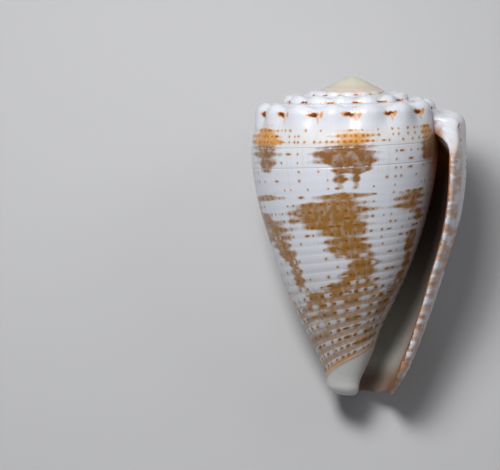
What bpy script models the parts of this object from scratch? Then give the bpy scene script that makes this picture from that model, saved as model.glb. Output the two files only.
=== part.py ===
"""A crowned cone shell lying on its back: one solid, a coiled whorl with an open aperture.

Sizes are in millimetres until the object is placed. A turn is one whorl of growth, counted back from the
lip: the lip is at turn 0 and the body whorl runs from turn -1 to 0. Depth is measured from the apex along
the axis. Azimuth is measured about the axis, from the aperture side (0) towards the lip (90).
"""

import math

import bpy
import numpy as np
from mathutils import Euler, Vector

MM = 0.001

# Growth of the coil
LIP_AZIMUTH = 61.0
COIL_TURNS = 5.2
COIL_POWER = 1.4
SHOULDER_RADIUS = 11.2
SHELL_LENGTH = 31.95

# Outlines of the side, as (depth, radius): near the lip, half a turn back and a whole turn back
OUTLINE_TURNS = (-0.08, -0.58, -1.08)
LIP_OUTLINE = (
    (4.4, 11.05), (7.8, 11.42), (12.0, 11.15), (15.5, 10.45), (19.5, 9.2),
    (25.5, 7.12), (28.5, 5.85), (30.3, 5.0), (31.5, 4.2),
)
HALF_OUTLINE = (
    (4.0, 9.75), (7.8, 10.1), (12.3, 9.45), (16.3, 8.3), (20.3, 6.95),
    (24.3, 5.2), (27.3, 3.7), (29.5, 2.75), (31.5, 2.3),
)
WHOLE_OUTLINE = (
    (3.2, 8.2), (6.5, 8.6), (10.3, 8.2), (14.5, 7.26), (18.7, 5.85),
    (22.0, 4.37), (25.3, 2.75), (27.5, 2.05), (29.1, 1.35), (30.3, 0.75), (31.6, 0.4),
)

# Spire: the dome of the earliest whorls as (radius, depth), then the depth of the shoulder's crest by turn
DOME = ((0.0, 0.0), (0.45, 0.05), (0.8, 0.18), (1.5, 0.5), (2.3, 0.93), (3.2, 1.3))
FIRST_TURN = -3.3
CREST_DEPTHS = (
    (-3.3, 1.15), (-2.58, 1.5), (-2.08, 1.72), (-1.58, 2.0), (-1.08, 2.42), (-0.58, 2.95), (0.0, 3.95),
)
CORNER_RADIUS = 0.95
CHANNEL_DEPTH = 0.3
DOME_RINGS = (0.14, 0.28, 0.5, 0.75, 1.0)

# Knobs on the shoulder: azimuths of the saddles between them on the body whorl, then their usual spacing
SADDLES = (73.0, 96.0, 119.4, 147.3, 173.1, 200.7, 227.0, 250.0, 269.0, 287.4, 308.8, 333.7, 358.1, 383.8, 410.4)
KNOB_SPACING = 26.0
KNOB_RISE = 0.62
KNOB_SWELL = 0.36
KNOB_SKIRT = 1.1
RISE_LEVEL = 0.35
SWELL_LEVEL = 0.4

# Spiral cords on the lower side
CORD_SPACING = 1.5
CORD_HEIGHT = 0.12
CORD_START = 17.0
CORD_FULL = 27.0
ROW_RISE = 0.29

# Narrow end: the height of its rounded tip
TIP_HEIGHT = 1.25

# Living chamber, open along the lip and at the narrow end, where it ends lower the nearer it is to the lip
CHAMBER_START = -0.93
CHAMBER_TOP = 1.25
CANAL_START = -0.46
PAST_LIP = 0.006
PAST_END = 0.8
END_WALL = 3.2
END_CLIMB = 9.0
ROOF_ROUNDING = 0.12
FLOOR_ROUNDING = 0.15
THINNEST = 0.02
LIP_OVERCUT = 0.08
WALL = 0.95
WALL_AT_BASE = 0.6
LIP_EDGE = 0.4

# How it lies: the azimuth that faces down, the angle at which the axis rises towards the apex, and the
# height of the small worn flat on its back that it lies on
REST_AZIMUTH = 181.2
REST_SLOPE = 15.1
REST_FLAT = 0.15

# Mesh counts
COLUMNS = 56
RAMP_ROWS = 3
CORNER_ROWS = 3
SIDE_ROWS = 6
CORD_ROWS = 18
END_ROWS = 3
CHAMBER_ROWS = 9
CHAMBER_COLUMNS = 24


def smooth_through(points, at):
    """Reads a smooth curve through the points, with each slope the mean of the two beside it."""
    x, y = np.array(points, float).T
    gaps = np.diff(y) / np.diff(x)
    slopes = np.concatenate([gaps[:1], (gaps[1:] + gaps[:-1]) / 2, gaps[-1:]])
    at = np.asarray(at, float)
    i = np.clip(np.searchsorted(x, at) - 1, 0, len(x) - 2)
    width = x[i + 1] - x[i]
    t = np.clip((at - x[i]) / width, 0, 1)
    rise = y[i] + (y[i + 1] - y[i]) * t * t * (3 - 2 * t)
    return rise + width * t * (1 - t) * (slopes[i] * (1 - t) - slopes[i + 1] * t)


def ease(low, high, at):
    """0 below low, 1 above high and smooth between."""
    t = np.clip((np.asarray(at, float) - low) / (high - low), 0, 1)
    return t * t * (3 - 2 * t)


def growth(turn):
    return (1 + turn / COIL_TURNS) ** COIL_POWER


def azimuth(turn):
    return LIP_AZIMUTH - 360 * turn


def place(turn, radius, depth):
    """Points of the upright shell: axis up, apex at the top, aperture towards -Y."""
    angle = np.radians(azimuth(turn)) + 0 * radius
    return np.stack([radius * np.sin(angle), -radius * np.cos(angle), -depth + 0 * radius], axis=-1)


def side_radius(turn, depth):
    """Radius of the whorl's outer surface: a log curve along the coil through the three outlines."""
    outlines = (LIP_OUTLINE, HALF_OUTLINE, WHOLE_OUTLINE)
    near, half, whole = (np.log(smooth_through(outline, depth)) for outline in outlines)
    step = (OUTLINE_TURNS[0] - turn) / (OUTLINE_TURNS[0] - OUTLINE_TURNS[1])
    return np.exp(near + step * (half - near) + step * (step - 1) / 2 * (whole - 2 * half + near))


def knob(turn):
    """0 in the saddles between the shoulder's knobs and 1 on the knobs."""
    there = azimuth(turn)
    last = len(SADDLES) - 1
    before = (there - SADDLES[0]) / KNOB_SPACING
    after = last + (there - SADDLES[-1]) / KNOB_SPACING
    phase = np.interp(there, SADDLES, np.arange(last + 1))
    phase = np.where(there < SADDLES[0], before, np.where(there > SADDLES[-1], after, phase))
    grown = ease(FIRST_TURN, FIRST_TURN + 0.8, turn)
    return grown * (0.5 - 0.5 * np.cos(2 * np.pi * phase))


def cords(turn, depth):
    """Height of the spiral cords, which sink towards the narrow end as the shell grows."""
    at_lip = depth * np.exp(-ROW_RISE * turn)
    wave = np.cos(2 * np.pi * at_lip / CORD_SPACING)
    return CORD_HEIGHT / 2 * ease(CORD_START, CORD_FULL, depth) * wave


def shoulder(turn, suture):
    """Rows across the ramp, from the suture, and round the shoulder's corner."""
    scale = growth(turn)
    radius = SHOULDER_RADIUS * scale
    crest = smooth_through(CREST_DEPTHS, turn)
    corner = np.minimum(CORNER_RADIUS * scale**0.9, 0.45 * (radius - suture[0]))
    bump = knob(turn)
    u = np.linspace(0, 1, RAMP_ROWS + 1)[1:, None]
    outer = ease(0.2, 1.0, u)
    channel = CHANNEL_DEPTH * scale * np.sin(np.pi * u**0.8) * ease(FIRST_TURN, FIRST_TURN + 1, turn)
    ramp_r = suture[0] + (radius - corner - suture[0]) * u
    ramp_z = suture[1] + (crest - suture[1]) * u + channel - outer * (bump - RISE_LEVEL) * KNOB_RISE * scale
    phi = np.linspace(0, np.pi / 2, CORNER_ROWS + 1)[1:, None]
    swell = np.sin(phi) * (bump - SWELL_LEVEL) * KNOB_SWELL * scale
    corner_r = radius - corner + corner * np.sin(phi) + swell
    corner_z = crest + corner * (1 - np.cos(phi)) - np.cos(phi) * (bump - RISE_LEVEL) * KNOB_RISE * scale
    return np.concatenate([ramp_r, corner_r]), np.concatenate([ramp_z, corner_z])


def side(turn):
    """Rows from the shoulder's corner down the side and round the narrow end to the axis."""
    scale = growth(turn)
    corner = CORNER_RADIUS * scale**0.9
    top = smooth_through(CREST_DEPTHS, turn) + corner
    low = SHELL_LENGTH - TIP_HEIGHT
    upper = top + (CORD_START - top) * np.linspace(0, 1, SIDE_ROWS + 1)[1:, None]
    lower = CORD_START + (low - CORD_START) * np.linspace(0, 1, CORD_ROWS + 1)[1:, None] + 0 * turn
    depth = np.concatenate([upper, lower])
    below = depth - top
    radius = side_radius(turn, depth) + cords(turn, depth)
    radius = radius + (1 - ease(0, 3, below)) * (SHOULDER_RADIUS * scale - side_radius(turn, top))
    radius = radius + np.exp(-((below / KNOB_SKIRT) ** 2)) * (knob(turn) - SWELL_LEVEL) * KNOB_SWELL * scale
    psi = np.linspace(0, np.pi / 2, END_ROWS + 1)[1:-1, None]
    end_r = radius[-1] * np.cos(psi) ** 0.55
    end_z = low + (SHELL_LENGTH - low) * np.sin(psi) ** 0.7 + 0 * turn
    return np.concatenate([radius, end_r]), np.concatenate([depth, end_z])


def strip(rows, close=False):
    """Quads between neighbouring columns of vertex numbers, given as rows by columns."""
    a, b = rows[:-1], rows[1:]
    if close:
        return [(a[k][i], b[k][i], b[k][i - 1], a[k][i - 1]) for k in range(len(a)) for i in range(len(a[0]))]
    return [(a[k][i + 1], b[k][i + 1], b[k][i], a[k][i]) for k in range(len(a)) for i in range(len(a[0]) - 1)]


def outer_mesh():
    """Vertices and faces of the whole outside: dome, coiled strip of ramp and corner, side and lip face."""
    count = round(-FIRST_TURN * COLUMNS)
    turns = FIRST_TURN + np.arange(count + 1) / COLUMNS
    first_radius = SHOULDER_RADIUS * growth(FIRST_TURN)
    by_radius = [(radius, depth) for radius, depth in DOME]
    first_depth = smooth_through(by_radius, first_radius)

    # The strip's rows, column by column, each starting from the corner of the whorl before it
    rows = RAMP_ROWS + CORNER_ROWS
    radius = np.zeros((rows, count + 1))
    depth = np.zeros((rows, count + 1))
    for i, turn in enumerate(turns):
        before = (first_radius, first_depth) if i <= COLUMNS else (radius[-1, i - COLUMNS], depth[-1, i - COLUMNS])
        if i == 0:
            radius[:, 0], depth[:, 0] = before
        else:
            r, z = shoulder(turn, before)
            radius[:, i], depth[:, i] = r[:, 0], z[:, 0]

    points = []
    faces = []

    def add(new):
        start = sum(len(p) for p in points)
        points.append(new.reshape(-1, 3))
        return start + np.arange(new.size // 3).reshape(new.shape[:-1])

    # Dome: rings from the apex to the circle where the strip starts
    around = turns[1 : COLUMNS + 1]
    ring_radii = first_radius * np.array(DOME_RINGS)[:, None]
    rings = add(place(around[None], ring_radii + 0 * around, smooth_through(by_radius, ring_radii)))
    apex = int(add(np.array([[0.0, 0.0, 0.0]]))[0])
    faces += [(apex, rings[0][i], rings[0][i - 1]) for i in range(COLUMNS)]
    faces += strip(rings, close=True)

    # Strip: the first column is the single point that closes the dome's circle
    strip_rows = np.zeros((rows, count + 1), int)
    strip_rows[:, 0] = rings[-1][-1]
    strip_rows[:, 1:] = add(place(turns[None, 1:], radius[:, 1:], depth[:, 1:]))
    suture = np.concatenate([rings[-1][-1:], rings[-1], strip_rows[-1, 1 : count + 1 - COLUMNS]])
    faces += [tuple(dict.fromkeys(face)) for face in strip(np.vstack([suture, strip_rows]))]

    # Side of the body whorl, from the corner down to the axis at the narrow end
    body = turns[-COLUMNS - 1 :]
    side_r, side_z = side(body[None])
    side_rows = add(place(body[None], side_r, side_z))
    tip = int(add(np.array([[0.0, 0.0, -SHELL_LENGTH]]))[0])
    side_rows = np.vstack([strip_rows[-1, -COLUMNS - 1 :], side_rows])
    faces += strip(side_rows)
    faces += [(side_rows[-1][i + 1], tip, side_rows[-1][i]) for i in range(COLUMNS)]

    # Lip face: from the whorl before it out to the lip, in one plane through the axis
    inner, outer = side_rows[:, 0], side_rows[:, -1]
    faces += [(inner[k + 1], outer[k + 1], outer[k], inner[k]) for k in range(len(inner) - 1)]
    faces.append((tip, outer[-1], inner[-1]))
    faces.append((*strip_rows[::-1, -1], inner[0]))
    return np.concatenate(points), faces


def chamber_mesh():
    """Vertices and faces of the hollow that is cut away, a closed tube from deep inside to past the lip."""
    turn = np.append(np.linspace(CHAMBER_START, 0, CHAMBER_COLUMNS), PAST_LIP)[None]
    top = smooth_through(CREST_DEPTHS, turn) + CHAMBER_TOP * growth(turn)
    closed = 1 - ease(CANAL_START, CANAL_START + 0.1, turn)
    climb = END_CLIMB * (CANAL_START - np.minimum(turn, CANAL_START))
    bottom = SHELL_LENGTH + PAST_END - closed * (END_WALL + climb)
    s = (1 - np.cos(np.linspace(0, np.pi, CHAMBER_ROWS)))[:, None] / 2
    depth = top + (bottom - top) * s
    wall = WALL + (WALL_AT_BASE - WALL) * ease(12, 28, depth)
    wall = wall + (LIP_EDGE - wall) * ease(-0.035, 0, turn)
    outer = side_radius(turn, depth) - wall
    inner = side_radius(turn - 1, depth) + LIP_OVERCUT * ease(-0.03, -0.01, turn)
    middle = (outer + inner) / 2
    end_round = np.sqrt(1 - (1 - np.clip(s / ROOF_ROUNDING, 0, 1)) ** 2)
    closing = 1 - closed * (1 - np.sqrt(1 - np.clip((s - 1 + FLOOR_ROUNDING) / FLOOR_ROUNDING, 0, 1) ** 2))
    half = (outer - inner) / 2 * np.maximum(end_round * closing, THINNEST)
    around = np.concatenate([place(turn, middle + half, depth), place(turn, middle - half, depth)[::-1]])
    number = np.arange(around.size // 3).reshape(around.shape[:-1])
    faces = [
        (number[k - 1][i], number[k - 1][i + 1], number[k][i + 1], number[k][i])
        for k in range(len(number))
        for i in range(len(number[0]) - 1)
    ]
    faces += [tuple(number[:, 0]), tuple(number[::-1, -1])]
    return around.reshape(-1, 3), faces


def make_object(name, points, faces):
    mesh = bpy.data.meshes.new(name)
    mesh.from_pydata(points.tolist(), [], [tuple(int(i) for i in face) for face in faces])
    mesh.validate()
    made = bpy.data.objects.new(name, mesh)
    bpy.context.scene.collection.objects.link(made)
    return made


def make_material():
    material = bpy.data.materials.new("shell")
    material.use_nodes = True
    surface = material.node_tree.nodes["Principled BSDF"]
    surface.inputs["Base Color"].default_value = (0.72, 0.60, 0.47, 1)
    surface.inputs["Roughness"].default_value = 0.25
    surface.inputs["Metallic"].default_value = 0.0
    return material


def lying():
    """Turns the upright shell on its back: the apex goes to +Y and the aperture faces up."""
    tip = Euler((math.radians(REST_SLOPE - 90), 0, 0)).to_matrix()
    roll = Euler((0, 0, math.radians(180 - REST_AZIMUTH))).to_matrix()
    return tip @ roll


def main():
    for old in list(bpy.data.objects):
        bpy.data.objects.remove(old)
    points, faces = outer_mesh()
    chamber_points, chamber_faces = chamber_mesh()
    turn = lying()
    turned = points @ np.array(turn).T
    turned[:, 2] = np.maximum(turned[:, 2], turned[:, 2].min() + REST_FLAT)
    points = turned @ np.array(turn)
    turned = turned * MM
    low, high = turned.min(axis=0), turned.max(axis=0)
    shift = Vector((-(low[0] + high[0]) / 2, -(low[1] + high[1]) / 2, -low[2]))

    shell = make_object("cone_shell", points * MM, faces)
    chamber = make_object("chamber_cutter", chamber_points * MM, chamber_faces)
    for made in (shell, chamber):
        made.rotation_euler = turn.to_euler()
        made.location = shift
    chamber.hide_render = True
    chamber.display_type = "WIRE"
    cut = shell.modifiers.new("chamber", "BOOLEAN")
    cut.operation = "DIFFERENCE"
    cut.solver = "EXACT"
    cut.object = chamber
    shell.data.shade_smooth()
    shell.data.set_sharp_from_angle(angle=math.radians(40))
    shell.data.materials.append(make_material())


main()
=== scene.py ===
"""A crowned cone shell lying on its back on a pale surface, seen from above, with its aperture up."""

import math

import bmesh
import bpy
import numpy as np
from mathutils import Euler, Matrix, Vector


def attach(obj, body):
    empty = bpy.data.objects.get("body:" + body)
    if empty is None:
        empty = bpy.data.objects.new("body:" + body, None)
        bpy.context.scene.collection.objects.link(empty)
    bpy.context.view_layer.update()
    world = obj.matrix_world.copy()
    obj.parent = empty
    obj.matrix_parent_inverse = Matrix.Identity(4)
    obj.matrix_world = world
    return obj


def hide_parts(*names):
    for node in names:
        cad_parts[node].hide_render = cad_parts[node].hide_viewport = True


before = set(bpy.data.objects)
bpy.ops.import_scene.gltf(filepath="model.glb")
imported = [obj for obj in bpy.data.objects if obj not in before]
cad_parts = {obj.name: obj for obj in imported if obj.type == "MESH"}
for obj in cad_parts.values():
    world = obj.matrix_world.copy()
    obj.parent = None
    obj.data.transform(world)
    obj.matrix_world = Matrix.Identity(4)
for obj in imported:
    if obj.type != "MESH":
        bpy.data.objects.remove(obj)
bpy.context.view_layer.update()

# Shell: form. One piece of glossy lime, grown at the lip turn by turn. A whorl is a wall about 1 mm
# thick, coiled on the whorl before it: a sloping ramp, a knobbed shoulder, and a long side that narrows
# to the front end. Lengths are in millimetres and turns are counted back from the lip, as in the model.
LIP_AZIMUTH = 61.0
COIL_TURNS = 5.2
COIL_POWER = 1.4
SHOULDER_RADIUS = 11.2
SHELL_LENGTH = 31.95
OUTLINE_TURNS = (-0.08, -0.58, -1.08)
LIP_OUTLINE = (
    (4.4, 11.05), (7.8, 11.42), (12.0, 11.15), (15.5, 10.45), (19.5, 9.2),
    (25.5, 7.12), (28.5, 5.85), (30.3, 5.0), (31.5, 4.2),
)
HALF_OUTLINE = (
    (4.0, 9.75), (7.8, 10.1), (12.3, 9.45), (16.3, 8.3), (20.3, 6.95),
    (24.3, 5.2), (27.3, 3.7), (29.5, 2.75), (31.5, 2.3),
)
WHOLE_OUTLINE = (
    (3.2, 8.2), (6.5, 8.6), (10.3, 8.2), (14.5, 7.26), (18.7, 5.85),
    (22.0, 4.37), (25.3, 2.75), (27.5, 2.05), (29.1, 1.35), (30.3, 0.75), (31.6, 0.4),
)
DOME = ((0.0, 0.0), (0.45, 0.05), (0.8, 0.18), (1.5, 0.5), (2.3, 0.93), (3.2, 1.3))
FIRST_TURN = -3.3
CREST_DEPTHS = (
    (-3.3, 1.15), (-2.58, 1.5), (-2.08, 1.72), (-1.58, 2.0), (-1.08, 2.42), (-0.58, 2.95), (0.0, 3.95),
)
CORNER_RADIUS = 0.95
CORNER_SHARE = 0.45
CHANNEL_DEPTH = 0.3
CHANNEL_SKEW = 0.8
KNOBBED_RAMP = 0.2
SADDLES = (
    73.0, 96.0, 119.4, 147.3, 173.1, 200.7, 227.0, 250.0, 269.0, 287.4, 308.8, 333.7, 358.1, 383.8, 410.4,
)
CORNER_POWER = 0.9
RAMP_GROWN = 1.0
KNOB_SPACING = 26.0
KNOB_RISE = 0.62
KNOB_RISE_LEVEL = 0.35
KNOB_SWELL = 0.6
KNOB_SWELL_LEVEL = 0.4
KNOB_SKIRT = 1.5
KNOB_ROUND = 0.8
KNOBS_GROWN = 0.8
ROW_RISE = 0.29
REST_AZIMUTH = 181.2
REST_SLOPE = 15.1
REST_FLAT = 0.15


def smooth_through(points, at):
    """Reads a smooth curve through the points: cubics whose slope is the mean of the two beside a point."""
    x, y = np.array(points, float).T
    gaps = np.diff(y) / np.diff(x)
    slopes = np.concatenate([gaps[:1], (gaps[1:] + gaps[:-1]) / 2, gaps[-1:]])
    at = np.asarray(at, float)
    i = np.clip(np.searchsorted(x, at) - 1, 0, len(x) - 2)
    width = x[i + 1] - x[i]
    t = np.clip((at - x[i]) / width, 0, 1)
    rise = y[i] + (y[i + 1] - y[i]) * t * t * (3 - 2 * t)
    return rise + width * t * (1 - t) * (slopes[i] * (1 - t) - slopes[i + 1] * t)


def ease(low, high, at):
    """0 below low, 1 above high and a cubic between."""
    t = np.clip((np.asarray(at, float) - low) / (high - low), 0, 1)
    return t * t * (3 - 2 * t)


def growth(turn):
    """Size of the whorl against its size at the lip: a power of the turns grown so far."""
    return np.maximum(1 + turn / COIL_TURNS, 0.01) ** COIL_POWER


def azimuth(turn):
    """Degrees about the axis from the aperture side: the lip's, and 360 more for each turn back."""
    return LIP_AZIMUTH - 360 * turn


def place(turn, radius, depth):
    """Points of the upright shell, apex up: polar in radius and azimuth, with minus the depth as height."""
    angle = np.radians(azimuth(turn)) + 0 * radius
    return np.stack([radius * np.sin(angle), -radius * np.cos(angle), -depth + 0 * radius], axis=-1)


def side_radius(turn, depth):
    """Radius of a whorl's outer wall: a quadratic in turns through the logs of the three outlines."""
    outlines = (LIP_OUTLINE, HALF_OUTLINE, WHOLE_OUTLINE)
    near, half, whole = (np.log(smooth_through(outline, depth)) for outline in outlines)
    step = (OUTLINE_TURNS[0] - turn) / (OUTLINE_TURNS[0] - OUTLINE_TURNS[1])
    return np.exp(near + step * (half - near) + step * (step - 1) / 2 * (whole - 2 * half + near))


def knob_phase(turn):
    """Counts knobs along the shoulder: a whole number at each saddle between two knobs."""
    there = azimuth(turn)
    last = len(SADDLES) - 1
    before = (there - SADDLES[0]) / KNOB_SPACING
    after = last + (there - SADDLES[-1]) / KNOB_SPACING
    phase = np.interp(there, SADDLES, np.arange(last + 1))
    return np.where(there < SADDLES[0], before, np.where(there > SADDLES[-1], after, phase))


def knob(turn):
    """Height of the knobs: 0 in the saddles and 1 on the knobs, rounder at the top than a cosine."""
    wave = 0.5 - 0.5 * np.cos(2 * np.pi * knob_phase(turn))
    return ease(FIRST_TURN, FIRST_TURN + KNOBS_GROWN, turn) * wave**KNOB_ROUND


# Rows of dots and cords follow the growth of the shell. Their number is 0 at the first row under the
# shoulder, they are closer in the upper band, and they sink by a fixed share of their depth each turn.
ROWS = np.array((-6, 0, 4, 8, 16, 28, 34))
ROW_DEPTHS = np.array((2.0, 6.25, 9.1, 13.55, 21.2, 34.95, 41.8))


def row_number(turn, depth):
    """Row of dots at a depth: the depth it will have at the lip, read off the table of rows."""
    return np.interp(depth * np.exp(-ROW_RISE * turn), ROW_DEPTHS, ROWS)


def row_pitch(turn, row):
    """Length of one row along the side: the table's step at that row, shrunk back to the turn."""
    step = np.interp(row + 0.5, ROWS, ROW_DEPTHS) - np.interp(row - 0.5, ROWS, ROW_DEPTHS)
    return np.exp(ROW_RISE * turn) * step


CORD_HEIGHT = 0.09
CORD_ROWS_START = 11.0
CORD_ROWS_FULL = 26.0
LAST_ROW = 28.3
LAST_ROW_END = 28.8
GROOVE_DEPTH = 0.012


def relief(turn, depth):
    """Height of the cords: a raised cosine on each row that grows down the side, over a faint ripple."""
    row = row_number(turn, depth)
    wave = 0.5 + 0.5 * np.cos(2 * np.pi * row)
    cords = CORD_HEIGHT * ease(CORD_ROWS_START, CORD_ROWS_FULL, row) ** 1.5
    ripple = GROOVE_DEPTH * ease(0, 2, row)
    end = 1 - ease(LAST_ROW, LAST_ROW_END, row)
    return (cords + ripple) * end * (wave**0.7 - 0.5)


def shoulder(turn, start_r, start_z, ramp_steps, corner_steps):
    """Ramp and corner: a line from the suture to the crest, hollowed by a sine, then a quarter circle.

    The knobs lift the outer ramp and the corner, and swell the corner outwards, by their height over a
    level between the saddles and the knobs."""
    scale = growth(turn)
    radius = SHOULDER_RADIUS * scale
    crest = smooth_through(CREST_DEPTHS, turn)
    widest = CORNER_SHARE * np.maximum(radius - start_r, 0)
    corner = np.minimum(CORNER_RADIUS * scale**CORNER_POWER, widest)
    rise = (knob(turn) - KNOB_RISE_LEVEL) * KNOB_RISE * scale
    u = ramp_steps[:, None]
    outer = ease(KNOBBED_RAMP, 1.0, u)
    hollow = CHANNEL_DEPTH * scale * ease(FIRST_TURN, FIRST_TURN + RAMP_GROWN, turn)
    channel = hollow * np.sin(np.pi * u**CHANNEL_SKEW)
    ramp_r = start_r + (radius - corner - start_r) * u
    ramp_z = start_z + (crest - start_z) * u + channel - outer * rise
    phi = corner_steps[:, None] * np.pi / 2
    swell = np.sin(phi) * (knob(turn) - KNOB_SWELL_LEVEL) * KNOB_SWELL * scale
    corner_r = radius - corner + corner * np.sin(phi) + swell
    corner_z = crest + corner * (1 - np.cos(phi)) - np.cos(phi) * rise
    return np.concatenate([ramp_r, corner_r]), np.concatenate([ramp_z, corner_z])


SIDE_BLEND = 3.0


def side(turn, steps, low):
    """Side of a whorl, corner down: the outline, led in from the corner, plus cords and the knobs' skirts."""
    scale = growth(turn)
    top = smooth_through(CREST_DEPTHS, turn) + CORNER_RADIUS * scale**CORNER_POWER
    depth = top + (low - top) * steps[:, None]
    below = depth - top
    radius = side_radius(turn, depth) + relief(turn, depth)
    radius = radius + (1 - ease(0, SIDE_BLEND, below)) * (SHOULDER_RADIUS * scale - side_radius(turn, top))
    skirt = np.exp(-((below / KNOB_SKIRT) ** 2))
    radius = radius + skirt * (knob(turn) - KNOB_SWELL_LEVEL) * KNOB_SWELL * scale
    return radius, depth


# The grids. The ramp and corner run unbroken from the first whorl to the lip. The body whorl also has its
# side, the rounded edge of its wall and the wall's inner face, so one closed section is carried along it.
TURN_STEPS = 300
RAMP_STEPS = np.linspace(0, 1, 10)
CORNER_STEPS = np.linspace(0, 1, 9)[1:]
SIDE_STEPS = np.linspace(0, 1, 141)[1:]
RIM_STEPS = np.linspace(0, np.pi, 7)[1:-1]
LIP_STEPS = np.linspace(0, np.pi / 2, 7)[1:]
CAP_STEPS = np.linspace(0, np.pi / 2, 12)
INNER_STRIDE = 3
TUCK = 0.05
WALL = 0.95
WALL_AT_BASE = 0.55
THINNING_DEPTHS = (12, 29)
LIP_EDGE = 0.62
LIP_EDGE_GAIN = 0.25
LIP_EDGE_DEPTHS = (22, 30)
LIP_EDGE_START = (5, 8)
LIP_EDGE_TURNS = (-0.04, 0)
SLOPE_START = 4.6
SLOPE_END = 8.3
SLOPE_POWER = 2.2
SLOPE_DEEPER = 1.8
SLOPE_DEEPER_TURNS = 0.08
CANAL_START = -0.47
CANAL_OPEN = -0.40
CAP_DEPTH = 30.7
RIM_DEPTH = 31.6
LIP_RISE = 0.45
LIP_RISE_TURNS = (-0.1, 0)
CAP_DIVE = 5.0
CAP_ROUND = 0.8

strip_count = round(-FIRST_TURN * TURN_STEPS)
strip_turns = FIRST_TURN + np.arange(strip_count + 1) / TURN_STEPS
first_radius = SHOULDER_RADIUS * growth(FIRST_TURN)
first_depth = float(smooth_through(DOME, first_radius))
strip_rows = len(RAMP_STEPS) + len(CORNER_STEPS)
strip_r = np.zeros((strip_rows, strip_count + 1))
strip_z = np.zeros((strip_rows, strip_count + 1))
for start in range(0, strip_count + 1, TURN_STEPS):
    part = slice(start, min(start + TURN_STEPS, strip_count + 1))
    before = slice(part.start - TURN_STEPS, part.stop - TURN_STEPS)
    suture_r = strip_r[-1, before] if start else np.full(part.stop, first_radius)
    suture_z = strip_z[-1, before] if start else np.full(part.stop, first_depth)
    found = shoulder(strip_turns[part], suture_r, suture_z, RAMP_STEPS, CORNER_STEPS)
    strip_r[:, part], strip_z[:, part] = found
strip_r[0] -= TUCK * growth(strip_turns)
strip_z[0] -= TUCK * growth(strip_turns)


def base_depth(turn):
    """Depth where the side ends: where the rounded tip starts, or the wall's free edge along the canal."""
    canal = (RIM_DEPTH - CAP_DEPTH) * ease(CANAL_START, CANAL_OPEN, turn)
    return CAP_DEPTH + canal - LIP_RISE * ease(*LIP_RISE_TURNS, turn)


def section_normal(r, z):
    """Direction straight out of the wall in its section: the row direction turned by a right angle."""
    along_r = np.gradient(r, axis=0)
    along_z = np.gradient(z, axis=0)
    length = np.hypot(along_r, along_z)
    return along_z / length, -along_r / length


body_turns = strip_turns[-TURN_STEPS - 1 :]
side_r, side_z = side(body_turns, SIDE_STEPS, base_depth(body_turns))
outer_r = np.concatenate([strip_r[:, -TURN_STEPS - 1 :], side_r])
outer_z = np.concatenate([strip_z[:, -TURN_STEPS - 1 :], side_z])
normal_r, normal_z = section_normal(outer_r, outer_z)


def wall_thickness(turn, depth):
    """Thickness: full above, thinner towards the narrow end, and thinner still along the lip's edge."""
    body = WALL + (WALL_AT_BASE - WALL) * ease(*THINNING_DEPTHS, depth)
    edge = LIP_EDGE + LIP_EDGE_GAIN * ease(*LIP_EDGE_DEPTHS, depth)
    return body + (edge - body) * ease(*LIP_EDGE_TURNS, turn) * ease(*LIP_EDGE_START, depth)


wall = wall_thickness(body_turns, outer_z)
inner_r = np.maximum(outer_r - wall * normal_r, 0.02)
inner_z = outer_z - wall * normal_z

# The corner inside the shoulder is filled in, so that the aperture ends above in a narrow slope, which
# reaches lower a little way in
deeper = SLOPE_DEEPER * ease(0, SLOPE_DEEPER_TURNS, -body_turns)
slope_end = SLOPE_END + deeper
slope_share = np.clip((inner_z - SLOPE_START - deeper) / (SLOPE_END - SLOPE_START), 0, 1)
slope_end_r = side_radius(body_turns, slope_end) - wall_thickness(body_turns, slope_end)
sloped_r = outer_r[0] + (slope_end_r - outer_r[0]) * (1 - (1 - slope_share) ** SLOPE_POWER)
inner_r = np.minimum(inner_r, np.where(inner_z < slope_end, sloped_r, inner_r))
middle_r, middle_z = (outer_r + inner_r) / 2, (outer_z + inner_z) / 2
rim_cos, rim_sin = np.cos(RIM_STEPS)[:, None], np.sin(RIM_STEPS)[:, None]
rim_r = middle_r[-1] + (outer_r[-1] - middle_r[-1]) * rim_cos
rim_z = middle_z[-1] + (outer_z[-1] - middle_z[-1]) * rim_cos + wall[-1] / 2 * rim_sin
back = np.append(np.arange(len(outer_r) - 1, 1, -INNER_STRIDE), 0)
section_r = np.concatenate([outer_r, rim_r, inner_r[back], outer_r[:1]])
section_z = np.concatenate([outer_z, rim_z, inner_z[back], outer_z[:1]])
rim_of_middle = np.zeros((len(RIM_STEPS), 1))
center_r = np.concatenate([middle_r, middle_r[-1] + rim_of_middle, middle_r[back], middle_r[:1]])
center_z = np.concatenate([middle_z, middle_z[-1] + rim_of_middle, middle_z[back], middle_z[:1]])
section_wall = np.concatenate([wall, wall[-1] + rim_of_middle, wall[back], wall[:1]])

# The lip's line: it draws back in a notch at the shoulder and curves away at the narrow end, so each row
# of the section is read again at the turns that it is drawn back to
NOTCH = 0.046
NOTCH_DEPTHS = (3.6, 8.4)
BASE_CURVE = 0.075
BASE_CURVE_DEPTHS = (28.4, 31.8)
DRAWN_TURNS = (-0.15, 0)
notch = NOTCH * (1 - ease(*NOTCH_DEPTHS, center_z))
base_curve = BASE_CURVE * ease(*BASE_CURVE_DEPTHS, center_z) ** 1.5
line = body_turns - (notch + base_curve) * ease(*DRAWN_TURNS, body_turns)


def drawn(rows):
    """Values of each row at the turns of the lip's line: linear between the columns."""
    return np.stack([np.interp(turns, body_turns, row) for turns, row in zip(line, rows)])


section_r, section_z = drawn(section_r), drawn(section_z)
center_r, center_z = drawn(center_r), drawn(center_z)

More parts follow.
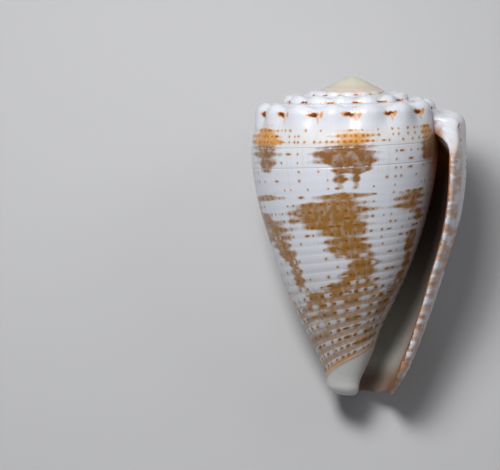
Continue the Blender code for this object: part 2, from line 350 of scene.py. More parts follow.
# The lip's rounded edge: the last section shrinks to its middle line while it moves on by half the wall
LIP_ROUND = 1.3
shrink = np.cos(LIP_STEPS)
last_r, last_z, last_wall = center_r[:, -1:], center_z[:, -1:], section_wall[:, -1:]
lip_r = last_r + (section_r[:, -1:] - last_r) * shrink
lip_z = last_z + (section_z[:, -1:] - last_z) * shrink
lip_turn = LIP_ROUND * last_wall / 2 * np.sin(LIP_STEPS) / (2 * np.pi * np.maximum(last_r, 1))
body_r = np.concatenate([section_r, lip_r], axis=1)
body_z = np.concatenate([section_z, lip_z], axis=1)
body_turn = np.concatenate([body_turns + 0 * section_r, lip_turn], axis=1)
body_line = np.concatenate([line, line[:, -1:] + lip_turn], axis=1)
rim_inside = ease(0, np.pi, RIM_STEPS)
inside_rows = np.concatenate([np.zeros(len(outer_r)), rim_inside, np.ones(len(back)), np.zeros(1)])


CAP_INSET = WALL_AT_BASE - 0.1
CAP_INSET_TURNS = 0.03


def rounded_tip(turns):
    """Tip: the side's last radius shrinks to the axis as a rounded end, and dives into the canal's floor."""
    r = side_radius(turns, CAP_DEPTH) + relief(turns, CAP_DEPTH)
    opening = ease(CANAL_START, CANAL_OPEN, turns)
    r = r - CAP_INSET * ease(CANAL_START, CANAL_START + CAP_INSET_TURNS, turns)
    depth = CAP_DEPTH + (SHELL_LENGTH - CAP_DEPTH) * np.sin(CAP_STEPS)[:, None]
    return r * np.maximum(np.cos(CAP_STEPS), 0)[:, None] ** CAP_ROUND, depth - CAP_DIVE * opening


# The side of the whorl before, as seen through the aperture, and the tip on the columella
INNER_FROM = -1.8
INNER_COLUMNS = 60
INNER_SHADE = (1.0, 1.06)
inner_turns = np.linspace(INNER_FROM, -1, INNER_COLUMNS + 1)
lining_r, lining_z = side(inner_turns, np.append(0, SIDE_STEPS), np.full(inner_turns.shape, CAP_DEPTH))
tip_turns = np.concatenate([inner_turns[:-1], strip_turns[-TURN_STEPS - 1 :]])
tip_turns = tip_turns[tip_turns <= CANAL_OPEN]
tip_r, tip_z = rounded_tip(tip_turns)

# Dome of the earliest whorls: a turned profile, 0.1 mm under the first coil at its edge
DOME_RINGS = np.linspace(0.02, 1, 22)
DOME_COLUMNS = 120
dome_turns = np.arange(DOME_COLUMNS + 1) / DOME_COLUMNS
dome_r = (first_radius * DOME_RINGS)[:, None] + 0 * dome_turns
dome_z = smooth_through(DOME, dome_r)


def grid_faces(start, shape):
    """Quads of a grid of points numbered row by row from start, turned to face away from the wall."""
    number = start + np.arange(shape[0] * shape[1]).reshape(shape)
    corners = number[:-1, 1:], number[1:, 1:], number[1:, :-1], number[:-1, :-1]
    return np.stack(corners, axis=-1).reshape(-1, 4)


# The spots follow one row of points, low on the corner of the shoulder
SPOT_ROW = len(RAMP_STEPS) + 5


def crest_distance(turn, r, z):
    """Length along the section from the shoulder's row of spots, over the size of the whorl."""
    steps = np.hypot(np.diff(r, axis=0), np.diff(z, axis=0))
    along = np.concatenate([np.zeros((1, r.shape[1])), np.cumsum(steps, axis=0)])
    return (along - along[SPOT_ROW]) / growth(np.minimum(turn, 0))


# Far off the spots, for the grids that have none
FAR = 99.0
spire = slice(None, -TURN_STEPS)
spire_turns = strip_turns[spire] + 0 * strip_r[:, spire]
spire_crest = crest_distance(spire_turns, strip_r[:, spire], strip_z[:, spire])
grids = (
    (spire_turns, strip_r[:, spire], strip_z[:, spire], 0.0, spire_crest, strip_turns[spire]),
    (body_line, body_r, body_z, inside_rows[:, None], crest_distance(body_turn, body_r, body_z), body_turn),
    (inner_turns + 0 * lining_r, lining_r, lining_z, ease(*INNER_SHADE, -inner_turns), FAR, inner_turns),
    (tip_turns + 0 * tip_r, tip_r, tip_z, 0.0, FAR, tip_turns),
    (dome_turns + FIRST_TURN + 0 * dome_r, dome_r, dome_z, 0.0, -FAR, FIRST_TURN),
)
points, faces, values = [], [], []
for turns, radii, depths, inside, crest, age in grids:
    faces.append(grid_faces(sum(len(grid) for grid in points), radii.shape))
    points.append(place(turns, radii, depths).reshape(-1, 3))
    columns = (turns, depths, radii, inside + 0 * radii, crest + 0 * radii, age + 0 * radii)
    values.append(np.stack([column.reshape(-1) for column in columns]))
points, faces = np.concatenate(points), np.concatenate(faces)
turn_of, depth_of, radius_of, inside_of, crest_of, age_of = np.concatenate(values, axis=1)

# It lies on its back: tipped so that the apex points to +Y and the aperture up, and set on the surface
# with the small worn flat that it lies on
MM = 0.001
tip = Euler((math.radians(REST_SLOPE - 90), 0, 0)).to_matrix()
roll = Euler((0, 0, math.radians(180 - REST_AZIMUTH))).to_matrix()
lying = np.array(tip @ roll)
turned = points @ lying.T
turned[:, 2] = np.maximum(turned[:, 2], turned[:, 2].min() + REST_FLAT)
low, high = turned.min(axis=0), turned.max(axis=0)
resting = np.array([(low[0] + high[0]) / 2, (low[1] + high[1]) / 2, low[2]])
placed = (turned - resting) * MM

mesh = bpy.data.meshes.new("cone_shell_surface")
mesh.vertices.add(len(placed))
mesh.vertices.foreach_set("co", placed.astype(np.float32).reshape(-1))
mesh.loops.add(faces.size)
mesh.loops.foreach_set("vertex_index", faces.astype(np.int32).reshape(-1))
mesh.polygons.add(len(faces))
mesh.polygons.foreach_set("loop_start", np.arange(0, faces.size, 4, dtype=np.int32))
mesh.update(calc_edges=True)

# Blotches of the pattern, as (azimuth, row, half width in degrees, half height in rows). They form broken
# bands: small ones under the knobs, a belt of flames in the middle, and a nearly closed field below. They
# were read in the photograph and converted to degrees and rows. Near azimuths 90 and 262, where it
# doesn't show the shell, they are made up.
BLOTCHES = (
    (360, 1.2, 14, 1.4), (353, 3.7, 18, 1.1), (358, 4.8, 16, 0.7), (358, 5.7, 8, 0.5), (364, 5.8, 6, 0.5),
    (351, 7, 4, 0.9), (362, 7.1, 3, 0.8), (295, 0.3, 11, 1.2), (297, 1.8, 17, 1), (297, 4.0, 14, 1.1),
    (298, 5.5, 6, 0.5), (417, 0.5, 5, 0.9), (419, 2.4, 8, 1.4), (417, 4.5, 8, 1.4), (355, 9, 16, 0.5),
    (344, 10.3, 25, 0.8), (341, 11.4, 25, 0.8), (346, 12.6, 22, 0.8), (355, 13.8, 18, 0.8),
    (355, 15.4, 17, 0.8), (358, 16.5, 15, 0.6), (369, 17.8, 11, 0.8), (365, 18.9, 13, 0.8),
    (358, 20.2, 22, 0.8), (356, 21.2, 30, 0.8), (361, 22.4, 32, 0.9), (360, 23.8, 39, 1),
    (354, 25.3, 45, 1), (347, 26.9, 63, 1), (329, 27.8, 43, 0.8), (295, 8.8, 15, 0.5), (285, 12, 9, 0.8),
    (293, 13.1, 16, 0.9), (296, 14.9, 13, 0.9), (301, 16.4, 9, 0.7), (306, 17.8, 6, 0.9),
    (306, 19.2, 8, 0.7), (316, 21.2, 10, 0.8), (406, 9.6, 14, 0.7), (405, 11.1, 15, 0.7),
    (416, 12.8, 8, 0.7), (415, 15.1, 8, 0.9), (414, 16.5, 8, 0.9), (418, 18.6, 7, 1), (415, 20.8, 9, 1),
    (405, 23, 10, 1.1), (154, 3.4, 14, 0.9), (157, 4.5, 8, 0.7), (157, 5.7, 7, 0.5), (159, 7.1, 3, 0.7),
    (154, 8.3, 9, 0.3), (132, 1.5, 6, 0.4), (160, 1.9, 4, 0.6), (128, 0.1, 7, 0.4), (203, -0.3, 5, 0.8),
    (203, 1.5, 8, 0.9), (200, 3.2, 8, 1.1), (197, 4.5, 9, 0.8), (200, 5.7, 5, 0.8), (200, 6.9, 4, 0.6),
    (200, 8.3, 11, 0.6), (194, 9.3, 16, 0.7), (191, 10.5, 22, 0.7), (197, 11.7, 15, 0.7),
    (201, 12.9, 7, 0.6), (203, 14.3, 9, 0.7), (202, 15.6, 5, 0.6), (130, 8.5, 12, 0.4), (134, 9.6, 22, 0.6),
    (130, 10.7, 31, 0.7), (140, 11.9, 17, 0.6), (151, 13.1, 14, 0.6), (150, 14.5, 15, 0.6),
    (154, 15.6, 12, 0.5), (160, 16.5, 6, 0.6), (161, 17.8, 7, 0.8), (154, 18.6, 17, 0.6),
    (155, 19.6, 19, 0.6), (154, 20.7, 32, 0.8), (169, 22.1, 39, 0.9), (159, 23.1, 41, 0.8),
    (166, 24.5, 38, 0.9), (161, 25.7, 39, 0.8), (163, 27, 35, 0.5), (207, 19.8, 11, 0.7),
    (207, 20.8, 19, 0.7), (200, 21.9, 25, 0.7), (222, 8.1, 8, 0.6), (235, 9.5, 16, 0.7),
    (237, 10.6, 15, 0.6), (232, 13, 10, 0.5), (219, 14.5, 12, 0.7), (225, 16.4, 7, 0.7),
    (225, 18.6, 11, 0.6), (223, 19.8, 11, 0.6), (223, 1, 5, 0.8), (225, 3.3, 5, 0.6), (224, 6.6, 4, 0.7),
    (90, 1.5, 9, 1.1), (88, 3.8, 10, 0.9), (92, 5.4, 6, 0.6), (85, 9.6, 15, 0.7), (90, 11, 19, 0.8),
    (84, 12.4, 15, 0.7), (78, 13.9, 10, 0.8), (97, 16.7, 9, 0.7), (88, 18.6, 14, 0.8), (92, 20.3, 20, 0.8),
    (102, 22, 32, 0.9), (94, 23.6, 36, 0.9), (100, 25.2, 36, 0.9), (108, 27, 30, 0.7), (262, 1.7, 10, 1.2),
    (258, 4.1, 12, 0.9), (262, 5.6, 6, 0.5), (266, 9.2, 12, 0.6), (260, 10.6, 20, 0.8),
    (264, 12.2, 15, 0.8), (272, 13.9, 9, 0.8), (255, 16.3, 11, 0.7), (262, 18.2, 13, 0.8),
    (257, 20.1, 19, 0.8), (270, 22, 30, 0.9), (261, 23.6, 36, 0.9), (258, 25.3, 36, 0.9),
    (262, 27, 34, 0.7),
)
BLOTCH_FALL = 0.7


def blotch_field(there, row):
    """Sum of one bell for each blotch: exp(-BLOTCH_FALL d^2), where d is 1 on the ellipse."""
    bells = (
        np.exp(-BLOTCH_FALL * (((there - centre) / width) ** 2 + ((row - middle) / height) ** 2))
        for centre, middle, width, height in BLOTCHES
    )
    return sum(bells)


# Attributes for the colours. Azimuth and row are a UV map; "knobs" counts them along the shoulder, and
# "crest" is the length across it from the row of spots, at the size of the last whorl.
row_of = row_number(turn_of, depth_of)
uv_layer = mesh.uv_layers.new(name="growth")
corner_values = np.stack([azimuth(turn_of), row_of], axis=-1)[faces.reshape(-1)]
uv_layer.uv.foreach_set("vector", corner_values.astype(np.float32).reshape(-1))
ATTRIBUTES = {
    "inside": inside_of, "depth": depth_of, "age": age_of, "radius": radius_of, "crest": crest_of,
    "knobs": knob_phase(turn_of), "blotch": blotch_field(azimuth(turn_of), row_of),
    "pitch": row_pitch(age_of, row_of),
}
for name, numbers in ATTRIBUTES.items():
    mesh.attributes.new(name, "FLOAT", "POINT").data.foreach_set("value", numbers.astype(np.float32))

# Neighbouring grids share their edges
WELD = 0.000002
joined = bmesh.new()
joined.from_mesh(mesh)
bmesh.ops.remove_doubles(joined, verts=joined.verts, dist=WELD)
joined.to_mesh(mesh)
joined.free()
mesh.shade_smooth()
shell = bpy.data.objects.new("shell_surface", mesh)
bpy.context.scene.collection.objects.link(shell)


def screen(red, green, blue):
    """Linear colour of screen values from 0 to 255."""
    value = np.array((red, green, blue)) / 255
    straight = np.where(value < 0.04045, value / 12.92, ((value + 0.055) / 1.055) ** 2.4)
    return (*straight.tolist(), 1.0)


class Value:
    """A socket that can be used in sums: each operator makes a Math node."""

    def __init__(self, nodes, socket):
        self.nodes = nodes
        self.socket = socket

    def math(self, operation, *others):
        return self.nodes.make("ShaderNodeMath", {"operation": operation}, dict(enumerate((self, *others))))

    def __add__(self, other):
        return self.math("ADD", other)

    def __sub__(self, other):
        return self.math("SUBTRACT", other)

    def __mul__(self, other):
        return self.math("MULTIPLY", other)

    def __truediv__(self, other):
        return self.math("DIVIDE", other)

    def __pow__(self, other):
        return self.math("POWER", other)

    __radd__ = __add__
    __rmul__ = __mul__

    def __rsub__(self, other):
        return self * -1 + other

    def floor(self):
        return self.math("FLOOR")

    def above(self, other):
        """1 where this is more than the other, else 0."""
        return self.math("GREATER_THAN", other)

    def most(self, other):
        return self.math("MAXIMUM", other)

    def smooth(self, low, high):
        """0 at low, 1 at high and a cubic between, also where low is the larger."""
        ends = {"Value": self, "From Min": low, "From Max": high}
        return self.nodes.make("ShaderNodeMapRange", {"interpolation_type": "SMOOTHSTEP"}, ends)


class Nodes:
    """Makes the nodes of one material: settings first, then sockets by name or number."""

    def __init__(self, material):
        material.use_nodes = True
        self.tree = material.node_tree
        self.surface = self.tree.nodes["Principled BSDF"]

    def feed(self, socket, value):
        if isinstance(value, Value):
            self.tree.links.new(value.socket, socket)
        else:
            socket.default_value = value

    def make(self, kind, settings, sockets, output=0):
        node = self.tree.nodes.new(kind)
        for name, value in settings.items():
            setattr(node, name, value)
        for name, value in sockets.items():
            self.feed(node.inputs[name], value)
        return Value(self, node.outputs[output])

    def attribute(self, name):
        return self.make("ShaderNodeAttribute", {"attribute_name": name}, {}, "Fac")

    def mix(self, first, second, share):
        return self.make("ShaderNodeMix", {"data_type": "RGBA"}, {0: share, 6: first, 7: second}, 2)

    def split(self, vector):
        return [self.make("ShaderNodeSeparateXYZ", {}, {0: vector}, k) for k in range(3)]

    def join(self, x, y, z):
        return self.make("ShaderNodeCombineXYZ", {}, {0: x, 1: y, 2: z})

    def chances(self, x, y, z):
        """Four even random values for whole numbers x, y and z."""
        settings, sockets = {"noise_dimensions": "3D"}, {"Vector": self.join(x, y, z)}
        value = self.make("ShaderNodeTexWhiteNoise", settings, sockets, "Value")
        return [value, *self.split(self.make("ShaderNodeTexWhiteNoise", settings, sockets, "Color"))]

    def noise(self, x, y, z, detail=2.0):
        """Smooth noise around 0.5 in coordinates that are already scaled. A fixed z picks one pattern."""
        sockets = {"Vector": self.join(x, y, z), "Scale": 1.0, "Detail": detail}
        return self.make("ShaderNodeTexNoise", {}, sockets, 0)


material = bpy.data.materials.new("shell_lime")
nodes = Nodes(material)
growth_uv = nodes.make("ShaderNodeUVMap", {"uv_map": "growth"}, {})
around, row, _ = nodes.split(growth_uv)
depth, age, radius = nodes.attribute("depth"), nodes.attribute("age"), nodes.attribute("radius")
crest, knobs, pitch = nodes.attribute("crest"), nodes.attribute("knobs"), nodes.attribute("pitch")
inside, blotch = nodes.attribute("inside"), nodes.attribute("blotch")
per_degree = radius * math.radians(1)
row_line = (row + 0.5).floor()
row_off = row - row_line

# Where the blotches are: their field, cut to a pointed step at each row by chance and pulled out along it
RAGGED_SHARE = 0.7
FINE_SHARE = 0.35
ROW_SHARE = 0.12
EDGE_LOW = 0.42
EDGE_HIGH = 0.92
ragged = nodes.noise(around / 9, row_line * 3.7, 4.0)
fine = nodes.noise(around / 3.5, row * 1.3, 9.0)
edge = blotch + (ragged - 0.5) * RAGGED_SHARE + (fine - 0.5) * FINE_SHARE
edge = edge + (row_off * 2 * math.pi).math("COSINE") * ROW_SHARE
blotched = edge.smooth(EDGE_LOW, EDGE_HIGH)

# Stain colours by row: orange yellow under the knobs, then pinkish, golden brown and tan towards the end.
# The ground is white with grey streaks along the growth lines and straw under the knobs. Low down it is
# greyer and darker: painted shade where the light fades towards the narrow end.
WHITE = screen(226, 228, 236)
STREAK = screen(206, 208, 204)
STRAW = screen(226, 214, 178)
LOW_PAINTED_SHADE = screen(190, 182, 172)
YELLOW = screen(220, 154, 66)
PINKISH = screen(140, 96, 54)
GOLDEN = screen(158, 111, 50)
TAN = screen(156, 118, 78)
clouds = nodes.noise(around / 4.5, row * 0.8, 2.0)
streaks = nodes.noise(around / 1.1, row * 0.12, 7.0)
stain = nodes.mix(YELLOW, PINKISH, row.smooth(1.8, 3.2))
stain = nodes.mix(stain, GOLDEN, row.smooth(6.0, 8.5))
stain = nodes.mix(stain, TAN, row.smooth(20.0, 25.0))
stain_share = blotched * (clouds.smooth(0.25, 0.6) * 0.28 + 0.72) * (1 - row.smooth(19.0, 25.0) * 0.2)
ground = nodes.mix(WHITE, STREAK, streaks.smooth(0.5, 0.75) * 0.5)
ground = nodes.mix(ground, STRAW, row.smooth(-1.5, 0.2) * row.smooth(4.0, 2.4) * 0.15)
# Painted shade: the ground turns greyer and darker towards the narrow end
ground = nodes.mix(ground, LOW_PAINTED_SHADE, row.smooth(14.0, 27.0) * 0.75)
color = nodes.mix(ground, stain, stain_share)

# Dots on the rows, one to a cell, in loose columns along the growth lines, with a paler ring of stain.
# Their spacing in degrees is close in the upper band and grows from the rows named here. One row has none.
# Lengths and heights are halves, in millimetres, and a gain is what chance adds.
FIRST_SPACING = 3.6
WIDER_FROM = ((3.5, 2.6), (15.5, 2.6), (21.5, 5.0))
BARE_ROW = 3.0
DOT_LIKELY = 0.42
DOT_LENGTH = 0.08
DOT_LENGTH_GAIN = 0.08
DOT_HEIGHT = 0.09
DOT_HEIGHT_GAIN = 0.05
DASH_FROM = 0.84
DASH_GAIN = 0.2
spacing = sum((row_line.above(start) * wider for start, wider in WIDER_FROM), FIRST_SPACING)
cell = around / spacing
number = cell.floor()
chance, chance_place, chance_size, chance_long = nodes.chances(number, row_line, 1.0)
column, _, _, _ = nodes.chances(number, spacing, 2.0)
along = cell - number - 0.5 - (column - 0.5) * 0.35 - (chance_place - 0.5) * 0.3
blur_a = nodes.noise(around * 0.9, row * 2.1, 21.0) - 0.5
blur_b = nodes.noise(around * 0.9, row * 2.1, 33.0) - 0.5
along = along * spacing * per_degree + blur_a * 0.22
across = row_off * pitch + blur_b * 0.2
dash = chance_long.above(DASH_FROM)
low_down = row.smooth(17.0, 24.0)
half_length = DOT_LENGTH + chance_size * DOT_LENGTH_GAIN + dash * DASH_GAIN
half_length = half_length * (blotched * 0.35 + 0.75) * (low_down * 0.25 + 1)
half_height = DOT_HEIGHT + chance_size * DOT_HEIGHT_GAIN
half_height = half_height * (blotched * 0.2 + 0.8) * (low_down * 0.2 + 1)
away = ((along / half_length) ** 2 + (across / half_height) ** 2).math("SQRT")
outer = age.smooth(0.001, -0.001)
on_side = row.smooth(-0.6, -0.4) * row.smooth(LAST_ROW + 0.2, LAST_ROW) * outer
bare = row_line.above(BARE_ROW - 0.5) * (1 - row_line.above(BARE_ROW + 0.5))
likely = DOT_LIKELY + blotched * 0.5 + row.smooth(18.0, 24.0) * 0.35 - bare * 2
dotted = likely.above(chance) * on_side
core = away.smooth(1.7, 0.4) * dotted
ring = away.smooth(3.2, 0.8) * dotted
BROWN_DOT = screen(146, 86, 6)
GOLDEN_DOT = screen(176, 134, 36)
UPPER_DOT = screen(186, 108, 20)
RING = screen(202, 152, 62)
dot_color = nodes.mix(BROWN_DOT, GOLDEN_DOT, chance_place.smooth(0.2, 0.9) * (1 - blotched * 0.7))
dot_color = nodes.mix(dot_color, UPPER_DOT, row.smooth(3.0, 2.4) * 0.6)

# White dashes between the dots, in the stained parts and most of all on the lower cords
WHITE_LIKELY = 0.2
WHITE_LENGTH = 0.18
WHITE_LENGTH_GAIN = 0.2
WHITE_HEIGHT = 0.17
half_cell = cell + 0.5
white_number = half_cell.floor()
white_chance, white_place, white_size, _ = nodes.chances(white_number, row_line, 3.0)
white_along = (half_cell - white_number - 0.5 - (white_place - 0.5) * 0.3) * spacing * per_degree
white_length = WHITE_LENGTH + white_size * WHITE_LENGTH_GAIN + low_down * (0.15 + white_size * 0.3)
white_height = low_down * 0.05 + WHITE_HEIGHT
white_away = ((white_along / white_length) ** 2 + (across / white_height) ** 2).math("SQRT")
white_likely = WHITE_LIKELY + row.smooth(17.0, 22.0) * 0.62
white_dash = white_away.smooth(1.7, 0.5) * white_likely.above(white_chance) * row.above(7.5) * on_side
color = nodes.mix(color, WHITE, white_dash * (row.smooth(10.0, 19.0) * 0.5 + 0.3))
color = nodes.mix(color, RING, ring * (0.32 - blotched * 0.18))
color = nodes.mix(color, dot_color, core * (0.75 + blotched.most(chance_long) * 0.25))

# Two fine pitted grooves in the upper band, coloured with painted shade along each groove and with painted
# highlights (small glints) on some of the pits
PITTED_ROWS = (3.0, 5.6)
PAINTED_PIT_SHADE = screen(160, 140, 126)
PAINTED_PIT_GLINT = screen(246, 236, 220)
first_away, second_away = ((row - pitted_row).math("ABSOLUTE") for pitted_row in PITTED_ROWS)
pit_away = first_away.math("MINIMUM", second_away) * pitch
pit_line = pit_away.smooth(0.1, 0.04)
glint_chance, _, _, _ = nodes.chances((around * 1.1).floor(), 3.0, 7.0)
# Painted shade along the grooves, then painted glints on some of the pits
color = nodes.mix(color, PAINTED_PIT_SHADE, pit_line * 0.12)
color = nodes.mix(color, PAINTED_PIT_GLINT, pit_line * glint_chance.above(0.7) * (blotched * 0.35 + 0.1))

# Spots on the shoulder: a dark bar with a rust edge in each saddle, a comma of rust beside it and a tail.
# Widths and heights are halves here too.
SPOT_DROP = 0.25
BAR_WIDTH = 0.52
BAR_WIDTH_GAIN = 0.35
BAR_HEIGHT = 0.2
BAR_HEIGHT_GAIN = 0.07
COMMA_OFF = 1.05
COMMA_WIDTH = 0.22
COMMA_HEIGHT = 0.25
COMMA_LEFT_OUT = 0.62
TAIL_OFF = 0.45
TAIL_WIDTH = 0.12
TAIL_HEIGHT = 0.55
knob_number = (knobs + 0.5).floor()
saddle = (knobs - knob_number) * math.radians(KNOB_SPACING) * SHOULDER_RADIUS
bar_chance, bar_place, bar_size, bar_tilt = nodes.chances(knob_number, 5.0, 5.0)
wobble = nodes.noise(saddle * 1.6, crest * 1.6, knob_number * 3.1) - 0.5
bar_x = (saddle + (bar_place - 0.5) * 0.5 + wobble * 0.5) / (BAR_WIDTH + bar_size * BAR_WIDTH_GAIN)
bar_y = crest - SPOT_DROP + saddle * (bar_tilt - 0.5) * 0.35 + wobble * 0.7
bar_y = bar_y / (BAR_HEIGHT + bar_chance * BAR_HEIGHT_GAIN)
bar_away = (bar_x ** 2 + bar_y ** 2).math("SQRT")
comma_x = (saddle - COMMA_OFF - bar_place * 0.25 + crest * 0.25) / COMMA_WIDTH
comma_y = (crest - SPOT_DROP - 0.1 + wobble * 0.6) / (COMMA_HEIGHT + bar_tilt * 0.25)
comma_away = (comma_x ** 2 + comma_y ** 2).math("SQRT") + 3 * bar_tilt.above(COMMA_LEFT_OUT)
tail_x = (saddle - TAIL_OFF - crest * 0.15 + wobble * 0.5) / (TAIL_WIDTH + bar_size * 0.1)
tail_y = (crest - SPOT_DROP - TAIL_HEIGHT) / TAIL_HEIGHT
tail_away = (tail_x ** 2 + tail_y ** 2).math("SQRT")
RUST = screen(226, 148, 56)
UMBER = screen(110, 52, 14)
color = nodes.mix(color, RUST, tail_away.smooth(1.7, 0.5) * outer * 0.55)
color = nodes.mix(color, RUST, comma_away.smooth(1.7, 0.7) * outer * 0.85)
color = nodes.mix(color, RUST, bar_away.smooth(1.9, 1.0) * outer * 0.9)
color = nodes.mix(color, UMBER, bar_away.smooth(1.25, 0.7) * outer)

# Cream apex, and the white end of the columella under the last row, which has an orange tint
CREAM = screen(216, 211, 186)
PINKISH_CREAM = screen(212, 186, 160)
PORCELAIN = screen(210, 209, 206)
LAST_CORD = screen(214, 158, 96)
apex_color = nodes.mix(CREAM, PINKISH_CREAM, radius.smooth(1.5, 2.9) * 0.7)
color = nodes.mix(color, apex_color, radius.smooth(4.2, 2.4) * depth.smooth(2.4, 1.6) * 0.9)
color = nodes.mix(color, LAST_CORD, row.smooth(27.9, 28.3) * 0.6)
color = nodes.mix(color, PORCELAIN, row.smooth(28.55, 28.8) * (1 - inside))

# Brown stain round the upper end of the aperture
# This brown also serves below, partly as painted shade in the throat
STAIN_AND_SHADE = screen(132, 90, 60)
stained = around.smooth(404.0, 428.0) * depth.smooth(3.6, 6.2) * depth.smooth(10.5, 7.0)
color = nodes.mix(color, STAIN_AND_SHADE, stained * 0.9)

# Lip: a pinkish edge with white and rust patches, and a rust line along its inner margin
LIP_PINK = screen(208, 180, 166)
MARGIN = screen(168, 108, 62)
lip_noise = nodes.noise(depth * 1.1, age * 24, 11.0)
near_lip = age.smooth(-0.06, -0.005) * depth.smooth(5.0, 10.0)
color = nodes.mix(color, LIP_PINK, near_lip * 0.6)
on_edge = age.smooth(-0.03, -0.014) * depth.smooth(5.0, 9.0)
edge_color = nodes.mix(LIP_PINK, MARGIN, lip_noise.smooth(0.52, 0.64) * 0.65)
edge_color = nodes.mix(edge_color, WHITE, lip_noise.smooth(0.5, 0.42))
color = nodes.mix(color, edge_color, on_edge * 0.9)

# Inside: brown above, then darker in the middle as painted shade, paler towards the narrow end, and browner
# near the lip and at the canal, partly a brown tint and partly painted shade where little light reaches.
# The top of the lip is white, and beside it runs a brown that is partly stain and partly painted shade.
DEEP = screen(190, 122, 66)
PAINTED_INNER_SHADE = screen(128, 108, 102)
LINING = screen(210, 212, 204)
LIP_LINING_AND_SHADE = screen(128, 94, 74)
# Partly brown and partly painted shade: darker on the inner face near the lip
lining = nodes.mix(LINING, LIP_LINING_AND_SHADE, age.smooth(-0.22, -0.04))
# Painted shade: darker in the middle, deep in the aperture
inner = nodes.mix(DEEP, PAINTED_INNER_SHADE, depth.smooth(7.0, 12.5))
inner = nodes.mix(inner, lining, depth.smooth(13.0, 26.0))
# Partly brown and partly painted shade: darker towards the canal
inner = nodes.mix(inner, LIP_LINING_AND_SHADE, depth.smooth(28.4, 30.5) * 0.8)
margin_share = age.smooth(-0.016, -0.004) * depth.smooth(8.0, 12.0) * lip_noise.smooth(0.4, 0.55)
inner = nodes.mix(inner, MARGIN, margin_share * 0.8)
pale = depth.smooth(5.8, 4.4).most(radius.smooth(8.7, 10.0))
inner = nodes.mix(inner, WHITE, age.smooth(-0.06, -0.02) * depth.smooth(8.0, 6.8) * pale)
color = nodes.mix(color, inner, inside)
# Partly brown stain and partly painted shade in the throat, beside the white top of the lip
throat_stain_and_shade = inside.smooth(0.0, 0.3) * depth.smooth(4.2, 6.1) * depth.smooth(8.4, 7.0) * radius.smooth(10.2, 8.9)
color = nodes.mix(color, STAIN_AND_SHADE, throat_stain_and_shade * 0.85)

# Fine relief, in millimetres: a ledge on each row that grows down the side, the pitted grooves, faint growth
# lines and the chipped edge of the lip
LEDGE = 0.05
LEDGE_OFF = 0.3
LEDGE_PEAK = 0.3
GROWTH_LINE = 0.012
PIT = 0.02
LIP_CHIPS = 0.25
GLOSS_ROUGHNESS = 0.28
ledge_at = row - LEDGE_OFF - (row - LEDGE_OFF).floor()
ledge_wave = ledge_at.smooth(0.0, LEDGE_PEAK) * ledge_at.smooth(1.0, LEDGE_PEAK)
ledge = ledge_wave * row.smooth(7.0, 27.0) * row.smooth(28.9, 28.5)
height = ledge * LEDGE + streaks * GROWTH_LINE - pit_line * PIT - lip_noise * on_edge * LIP_CHIPS
bump = nodes.make("ShaderNodeBump", {}, {"Height": height * (1 - inside), "Distance": MM, "Strength": 1.0})
nodes.feed(nodes.surface.inputs["Normal"], bump)

nodes.feed(nodes.surface.inputs["Base Color"], color)
nodes.surface.inputs["Roughness"].default_value = GLOSS_ROUGHNESS
mesh.materials.append(material)
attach(shell, "root")
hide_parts("cone_shell")

# Floor: a wide, plain, pale sheet of matt board that the shell lies loose on. It isn't part of the object,
# so it goes with the stage.
FLOOR_SIZE = 6.0
FLOOR_COLOR = (0.58, 0.58, 0.59, 1)
FLOOR_ROUGHNESS = 0.8
floor_mesh = bpy.data.meshes.new("floor")
half = FLOOR_SIZE / 2
floor_corners = [(-half, -half, 0), (half, -half, 0), (half, half, 0), (-half, half, 0)]
floor_mesh.from_pydata(floor_corners, [], [(0, 1, 2, 3)])
floor_material = bpy.data.materials.new("floor_board")
floor_material.use_nodes = True
board = floor_material.node_tree.nodes["Principled BSDF"]
board.inputs["Base Color"].default_value = FLOOR_COLOR
board.inputs["Roughness"].default_value = FLOOR_ROUGHNESS
floor_mesh.materials.append(floor_material)
floor = bpy.data.objects.new("floor", floor_mesh)
bpy.context.scene.collection.objects.link(floor)

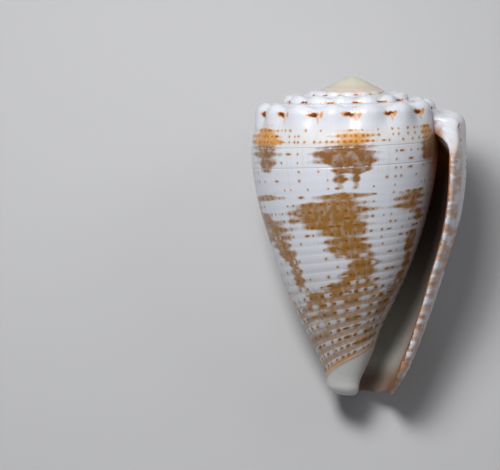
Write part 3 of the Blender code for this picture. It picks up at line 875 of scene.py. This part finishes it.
# Camera: far off on the aperture side, about 3 degrees towards the spire, upright along the shell's axis.
# The pixel is where the apex shows in the picture.
PIXELS_PER_MM = 10.0
IMAGE_WIDTH = 500
IMAGE_HEIGHT = 470
APEX_PIXEL = (352.5, 76.8)
LENS = 700.0
SENSOR = 36.0
CLIP_START = 0.01
SPIREWARD = math.radians(3.2)
to_right = Vector(lying @ np.array([1, 0, 0]))
to_top = Vector(lying @ np.array([0, math.sin(SPIREWARD), math.cos(SPIREWARD)]))
to_camera = Vector(lying @ np.array([0, -math.cos(SPIREWARD), math.sin(SPIREWARD)]))
apex = Vector(-resting) * MM
left = (APEX_PIXEL[0] - IMAGE_WIDTH / 2) / PIXELS_PER_MM * MM
down = (IMAGE_HEIGHT / 2 - APEX_PIXEL[1]) / PIXELS_PER_MM * MM
aim = apex - to_right * left - to_top * down
frame_width = IMAGE_WIDTH / PIXELS_PER_MM * MM
distance = frame_width * LENS / SENSOR
camera_data = bpy.data.cameras.new("camera")
camera_data.lens = LENS
camera_data.sensor_width = SENSOR
camera_data.clip_start = CLIP_START
camera = bpy.data.objects.new("camera", camera_data)
camera.location = aim + to_camera * distance
facing = Matrix((to_right, to_top, to_camera)).transposed()
camera.rotation_euler = facing.to_euler()
bpy.context.scene.collection.objects.link(camera)
bpy.context.scene.camera = camera

# Light: a small soft lamp close above the spire, so that its light fades towards the narrow end, a large
# one far off on the same side, another to the right, and an even pale surround.
# A lamp is its name, its place in metres, its width and its power in watts.
SURROUND_COLOR = (0.9, 0.93, 1.0, 1)
SURROUND_STRENGTH = 0.13
LAMPS = (
    ("key", (-0.028, 0.031, 0.092), 0.032, 0.044),
    ("even", (-0.16, 0.24, 0.66), 0.22, 1.8),
    ("fill", (0.50, 0.26, 0.40), 0.35, 0.45),
)
for name, place_at, size, power in LAMPS:
    lamp_data = bpy.data.lights.new(name, "AREA")
    lamp_data.shape = "DISK"
    lamp_data.size = size
    lamp_data.energy = power
    lamp = bpy.data.objects.new(name, lamp_data)
    lamp.location = place_at
    lamp.rotation_euler = Vector(place_at).to_track_quat("Z", "Y").to_euler()
    bpy.context.scene.collection.objects.link(lamp)
world = bpy.data.worlds.new("surround")
world.use_nodes = True
background = world.node_tree.nodes["Background"]
background.inputs["Color"].default_value = SURROUND_COLOR
background.inputs["Strength"].default_value = SURROUND_STRENGTH
bpy.context.scene.world = world
bpy.context.scene.view_settings.view_transform = "Standard"
